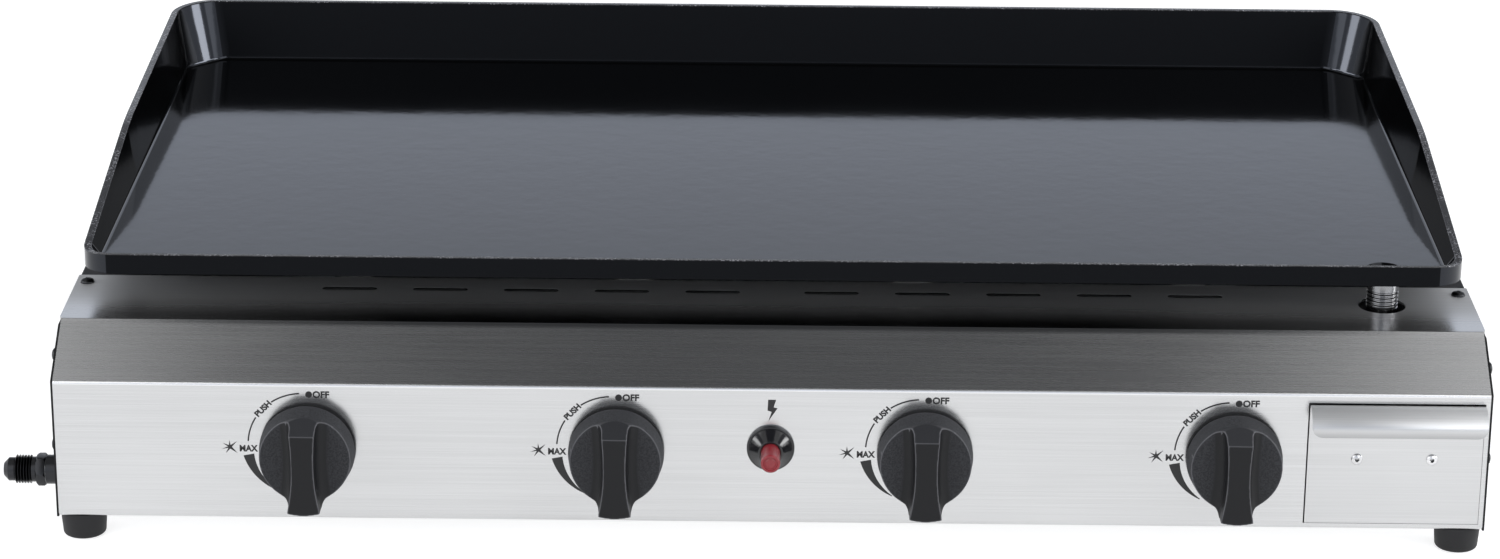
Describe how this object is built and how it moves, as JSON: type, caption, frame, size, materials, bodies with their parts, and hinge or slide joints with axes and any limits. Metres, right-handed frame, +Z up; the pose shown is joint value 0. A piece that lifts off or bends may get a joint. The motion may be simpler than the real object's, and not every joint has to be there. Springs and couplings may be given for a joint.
{
  "type": "table-top gas griddle",
  "caption": "Low stainless table-top gas griddle with a rimmed black enamelled plate, knobs, push igniter, pull-out grease drawer and a gas inlet on its left side.",
  "frame": {"origin": "on the table, under the middle of the whole griddle's box, gas inlet and knobs included", "axes": "+X to the right seen from the knobs, +Y away from the person at the knobs, +Z up"},
  "size_m": [0.8378, 0.5052, 0.18],
  "materials": {
    "stainless": "brushed along its length",
    "black_panel": "black powder coat",
    "zinc_sheet": "galvanised sheet",
    "burner_steel": "drawn stainless tube",
    "pipe_steel": "plated pipe",
    "black_fitting": "black oxide",
    "valve_alloy": "die cast",
    "brass": "turned",
    "stem_steel": "turned",
    "knob_plastic": "fine moulded grain",
    "igniter_plastic": "moulded",
    "button_red": "moulded",
    "ceramic": "glazed white ceramic",
    "electrode_wire": "heat-resisting wire",
    "rivet_alloy": "plain",
    "enamel": "gloss black enamel on steel",
    "rubber": "moulded",
    "black_screw": "black oxide",
    "zinc_screw": "zinc plated"
  },
  "bodies": {
    "housing": {"front_fascia": "stainless", "left_side_panel": "black_panel", "right_side_panel": "black_panel", "back_panel": "black_panel", "base_panel": "zinc_sheet", "heat_baffle": "zinc_sheet", "burner_rear_rail": "zinc_sheet", "manifold_brackets": "zinc_sheet", "drawer_rail_left": "zinc_sheet", "drawer_rail_right": "zinc_sheet", "burner_1": "burner_steel", "burner_2": "burner_steel", "burner_3": "burner_steel", "burner_4": "burner_steel", "air_shutter_1": "burner_steel", "air_shutter_2": "burner_steel", "air_shutter_3": "burner_steel", "air_shutter_4": "burner_steel", "gas_manifold": "pipe_steel", "manifold_end_cap": "pipe_steel", "gas_inlet": "black_fitting", "valve_body_1": "valve_alloy", "valve_body_2": "valve_alloy", "valve_body_3": "valve_alloy", "valve_body_4": "valve_alloy", "gas_jets": "brass", "igniter_body": "igniter_plastic", "igniter_nut": "igniter_plastic", "electrode_ceramics": "ceramic", "electrode_rods": "electrode_wire", "foot_front_left": "rubber", "foot_front_right": "rubber", "foot_back_left": "rubber", "foot_back_right": "rubber", "deck_screws": "black_screw", "left_side_screws": "black_screw", "right_side_screws": "black_screw", "foot_screws": "zinc_screw", "foot_nuts": "zinc_screw"},
    "griddle": {"griddle_plate": "enamel", "griddle_rim": "enamel", "drain_spout": "enamel", "griddle_legs": "enamel"},
    "grease_drawer": {"drawer_front": "stainless", "grease_tray": "zinc_sheet", "drawer_rivets": "rivet_alloy"},
    "igniter_push": {"igniter_button": "button_red"},
    "valve_core_1": {"valve_plug_1": "brass"},
    "knob_1": {"control_knob_1": "knob_plastic", "valve_stem_1": "stem_steel"},
    "valve_core_2": {"valve_plug_2": "brass"},
    "knob_2": {"control_knob_2": "knob_plastic", "valve_stem_2": "stem_steel"},
    "valve_core_3": {"valve_plug_3": "brass"},
    "knob_3": {"control_knob_3": "knob_plastic", "valve_stem_3": "stem_steel"},
    "valve_core_4": {"valve_plug_4": "brass"},
    "knob_4": {"control_knob_4": "knob_plastic", "valve_stem_4": "stem_steel"}
  },
  "joints": [
    {"name": "griddle_lift", "type": "slide", "parent": "housing", "child": "griddle", "axis": [0, 0, 1], "range_m": [0, 0.12]},
    {"name": "grease_drawer_slide", "type": "slide", "parent": "housing", "child": "grease_drawer", "axis": [0, -1, 0], "range_m": [0, 0.18]},
    {"name": "igniter_press", "type": "slide", "parent": "housing", "child": "igniter_push", "axis": [0, 1, 0], "range_m": [0, 0.008], "stiffness_N_per_m": 900},
    {"name": "knob_1_turn", "type": "hinge", "parent": "housing", "child": "valve_core_1", "pos_m": [-0.2416, -0.22245, 0.0576], "axis": [0, -1, 0], "range_deg": [0, 180]},
    {"name": "knob_1_push", "type": "slide", "parent": "valve_core_1", "child": "knob_1", "axis": [0, 1, 0], "range_m": [0, 0.0028], "stiffness_N_per_m": 1800},
    {"name": "knob_2_turn", "type": "hinge", "parent": "housing", "child": "valve_core_2", "pos_m": [-0.0696, -0.22245, 0.0576], "axis": [0, -1, 0], "range_deg": [0, 180]},
    {"name": "knob_2_push", "type": "slide", "parent": "valve_core_2", "child": "knob_2", "axis": [0, 1, 0], "range_m": [0, 0.0028], "stiffness_N_per_m": 1800},
    {"name": "knob_3_turn", "type": "hinge", "parent": "housing", "child": "valve_core_3", "pos_m": [0.1024, -0.22245, 0.0576], "axis": [0, -1, 0], "range_deg": [0, 180]},
    {"name": "knob_3_push", "type": "slide", "parent": "valve_core_3", "child": "knob_3", "axis": [0, 1, 0], "range_m": [0, 0.0028], "stiffness_N_per_m": 1800},
    {"name": "knob_4_turn", "type": "hinge", "parent": "housing", "child": "valve_core_4", "pos_m": [0.2744, -0.22245, 0.0576], "axis": [0, -1, 0], "range_deg": [0, 180]},
    {"name": "knob_4_push", "type": "slide", "parent": "valve_core_4", "child": "knob_4", "axis": [0, 1, 0], "range_m": [0, 0.0028], "stiffness_N_per_m": 1800}
  ]
}
